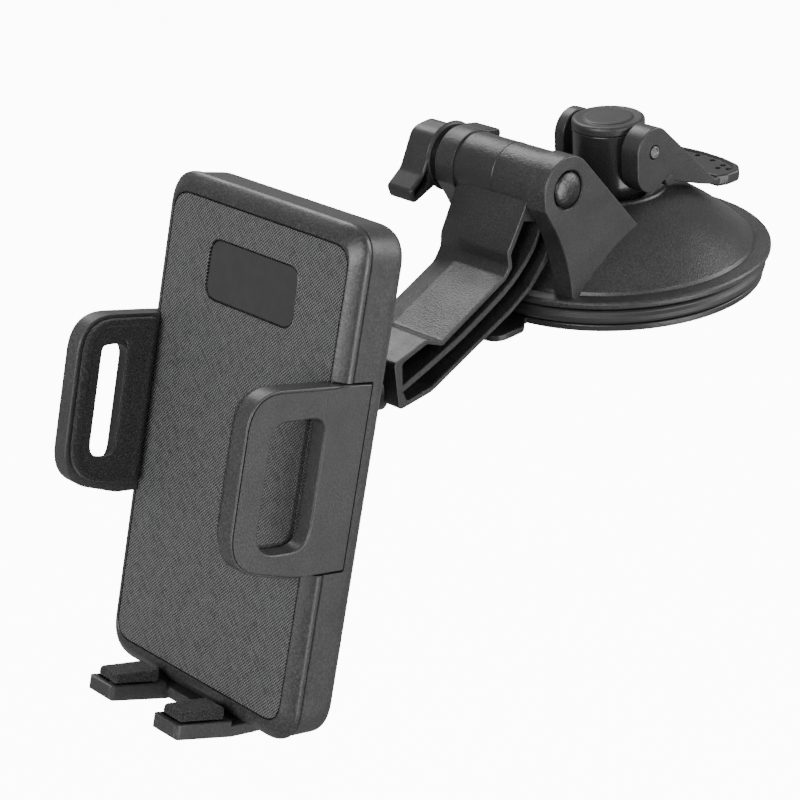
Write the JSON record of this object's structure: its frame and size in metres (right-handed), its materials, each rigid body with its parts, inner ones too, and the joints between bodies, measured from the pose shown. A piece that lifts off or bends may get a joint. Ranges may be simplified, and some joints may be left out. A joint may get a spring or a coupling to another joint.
{
  "type": "car phone mount",
  "caption": "Suction-base phone holder for a car: lever-locked cup, hinged arm with wing knob, ball joint and a cradle with spring side clamps and a sliding foot.",
  "frame": {"origin": "centre of the suction face, on the underside of the gel pad", "axes": "+Z away from the suction face through the locking post, X parallel to the arm hinge, -Y towards the cradle"},
  "size_m": [0.076, 0.1901, 0.1099],
  "materials": {
    "black_plastic": "fine moulded grain",
    "panel_weave": "fine cross-hatched texture",
    "gloss_black": "polished",
    "cup_rubber": "smooth",
    "gel": "soft and slightly tacky",
    "foam": "fine-celled foam",
    "nylon": "plain",
    "black_zinc": "black zinc plate",
    "steel": "bright zinc plate",
    "brass": "turned"
  },
  "bodies": {
    "base": {"dome_cover": "black_plastic", "suction_cup": "cup_rubber", "gel_pad": "gel", "hinge_bolt": "black_zinc"},
    "post": {"hub_post": "black_plastic", "post_cap": "black_plastic"},
    "lever": {"lock_lever": "black_plastic", "lever_pin": "steel"},
    "knob": {"wing_knob": "black_plastic", "knob_nut": "brass", "knob_washer": "steel"},
    "arm": {"arm": "black_plastic"},
    "swivel": {"socket_liner": "nylon"},
    "tilt": {"ball_ring": "nylon"},
    "cradle": {"rear_cover": "black_plastic", "front_bezel": "black_plastic", "face_panel": "panel_weave", "badge_plate": "gloss_black", "cover_screw_1": "steel", "cover_screw_2": "steel", "cover_screw_3": "steel", "cover_screw_4": "steel", "pinion_axle": "steel", "pawl_pivot": "steel"},
    "nut": {"ring_nut": "black_plastic"},
    "clamp_right": {"clamp_right": "black_plastic", "pad_right": "foam"},
    "clamp_left": {"clamp_left": "black_plastic", "pad_left": "foam"},
    "pinion": {"pinion_gear": "nylon", "opening_spring": "steel"},
    "foot": {"foot_bracket": "black_plastic", "foot_pad_left": "foam", "foot_pad_right": "foam"},
    "button": {"release_button": "black_plastic"},
    "pawl": {"latch_pawl": "nylon"}
  },
  "joints": [
    {"name": "lever_turn", "type": "hinge", "parent": "post", "child": "lever", "pos_m": [0, 0, 0.0329], "axis": [1, 0, 0], "range_deg": [0, 90]},
    {"name": "post_slide", "type": "slide", "parent": "base", "child": "post", "axis": [0, 0, 1], "range_m": [-0.004, 0]},
    {"name": "knob_turn", "type": "hinge", "parent": "base", "child": "knob", "pos_m": [0, -0.0324, 0.034], "axis": [1, 0, 0], "continuous": true},
    {"name": "arm_hinge", "type": "hinge", "parent": "base", "child": "arm", "pos_m": [0, -0.0324, 0.034], "axis": [1, 0, 0], "range_deg": [-80, 4]},
    {"name": "ball_swivel", "type": "hinge", "parent": "arm", "child": "swivel", "pos_m": [0, -0.09571, -0.00405], "axis": [0, 0.9715, 0.2368], "continuous": true},
    {"name": "ball_tilt", "type": "hinge", "parent": "swivel", "child": "tilt", "pos_m": [0, -0.09571, -0.00405], "axis": [1, 0, 0], "range_deg": [-5, 65]},
    {"name": "cradle_turn", "type": "hinge", "parent": "tilt", "child": "cradle", "pos_m": [0, -0.09571, -0.00405], "axis": [0, -0.9581, 0.2865], "continuous": true},
    {"name": "ring_nut_turn", "type": "hinge", "parent": "cradle", "child": "nut", "pos_m": [0, -0.09571, -0.00405], "axis": [0, -0.9581, 0.2865], "continuous": true},
    {"name": "clamp_right_slide", "type": "slide", "parent": "cradle", "child": "clamp_right", "axis": [1, 0, 0], "range_m": [0, 0.017]},
    {"name": "clamp_left_slide", "type": "slide", "parent": "cradle", "child": "clamp_left", "axis": [-1, 0, 0], "range_m": [0, 0.017]},
    {"name": "pinion_spin", "type": "hinge", "parent": "cradle", "child": "pinion", "pos_m": [0, -0.11257, -0.0011], "axis": [0, -0.9581, 0.2865], "range_deg": [-217, 0]},
    {"name": "foot_slide", "type": "slide", "parent": "cradle", "child": "foot", "axis": [0, -0.2865, -0.9581], "range_m": [0, 0.012]},
    {"name": "button_push", "type": "slide", "parent": "cradle", "child": "button", "axis": [1, 0, 0], "range_m": [0, 0.0016], "stiffness_N_per_m": 500, "springref_m": -0.0008},
    {"name": "pawl_turn", "type": "hinge", "parent": "cradle", "child": "pawl", "pos_m": [-0.02, -0.11796, -0.01911], "axis": [0, -0.9581, 0.2865], "range_deg": [0, 12.1]}
  ],
  "couplings": [
    {"joint": "lever_turn", "follows": "post_slide", "rad_per_m": -392.69},
    {"joint": "clamp_left_slide", "follows": "clamp_right_slide", "ratio": 1},
    {"joint": "pinion_spin", "follows": "clamp_right_slide", "rad_per_m": -222.22},
    {"joint": "pawl_turn", "follows": "button_push", "rad_per_m": 130.9}
  ]
}
